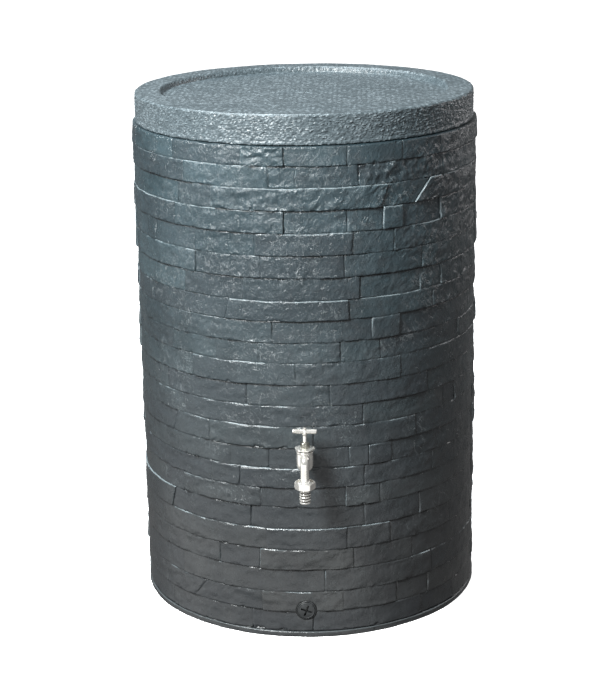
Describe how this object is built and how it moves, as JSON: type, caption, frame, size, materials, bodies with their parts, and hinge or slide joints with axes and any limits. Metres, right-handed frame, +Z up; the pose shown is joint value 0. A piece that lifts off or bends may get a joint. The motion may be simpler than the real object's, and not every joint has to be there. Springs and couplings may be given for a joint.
{
  "type": "rain barrel",
  "caption": "Round moulded rain barrel with a split-stone wall, lift-off lid, chrome bib tap with a screwed hose tail, and a screwed drain plug.",
  "frame": {"origin": "centre of the base, on the surface the barrel stands on", "axes": "+Z up along the barrel's axis, -Y towards the tap, +X to the right of someone facing the tap"},
  "size_m": [0.5795, 0.6466, 0.868],
  "materials": {
    "slate_plastic": "satin moulded stone texture",
    "lid_plastic": "satin, leather-grained",
    "chrome": "bright chrome plate",
    "brass": "machined",
    "rubber": "matt",
    "black_plastic": "satin"
  },
  "bodies": {
    "tank": {"barrel_shell": "slate_plastic", "tap_outer_seal": "rubber", "tap_inner_seal": "rubber", "tap_backnut": "brass", "tap_body": "chrome", "bonnet": "chrome", "bonnet_seal": "rubber", "gland_nut": "chrome", "gland_packing": "rubber", "drain_bush": "black_plastic", "drain_bush_seal": "rubber", "drain_backnut": "black_plastic"},
    "lid": {"lid": "lid_plastic"},
    "valve": {"jumper_valve": "brass", "valve_washer": "rubber"},
    "handle": {"spindle": "chrome", "tbar_handle": "chrome", "handle_screw": "chrome"},
    "tail": {"hose_tail": "chrome", "tail_washer": "rubber"},
    "nut": {"union_nut": "chrome"},
    "plug_ring": {"plug_seal": "rubber"},
    "plug": {"drain_plug": "black_plastic"}
  },
  "joints": [
    {"name": "lid_lift", "type": "slide", "parent": "tank", "child": "lid", "axis": [0, 0, 1], "range_m": [0, 0.1]},
    {"name": "valve_lift", "type": "slide", "parent": "tank", "child": "valve", "axis": [0, 0, 1], "range_m": [0, 0.00451]},
    {"name": "handle_turn", "type": "hinge", "parent": "valve", "child": "handle", "pos_m": [0.0028, -0.322, 0.3714], "axis": [0, 0, 1], "range_deg": [0, 900]},
    {"name": "tail_drop", "type": "slide", "parent": "tank", "child": "tail", "axis": [0, 0, -1], "range_m": [0, 0.00726]},
    {"name": "nut_turn", "type": "hinge", "parent": "tail", "child": "nut", "pos_m": [0.0028, -0.342, 0.287], "axis": [0, 0, -1], "range_deg": [0, 1440]},
    {"name": "plug_out", "type": "slide", "parent": "tank", "child": "plug_ring", "axis": [0, -1, 0], "range_m": [0, 0.01089]},
    {"name": "plug_turn", "type": "hinge", "parent": "plug_ring", "child": "plug", "pos_m": [0, -0.2896, 0.048], "axis": [0, -1, 0], "range_deg": [0, 2160]}
  ],
  "couplings": [
    {"joint": "valve_lift", "follows": "handle_turn", "m_per_rad": 0.00028648},
    {"joint": "tail_drop", "follows": "nut_turn", "m_per_rad": 0.00028871},
    {"joint": "plug_out", "follows": "plug_turn", "m_per_rad": 0.00028871}
  ]
}
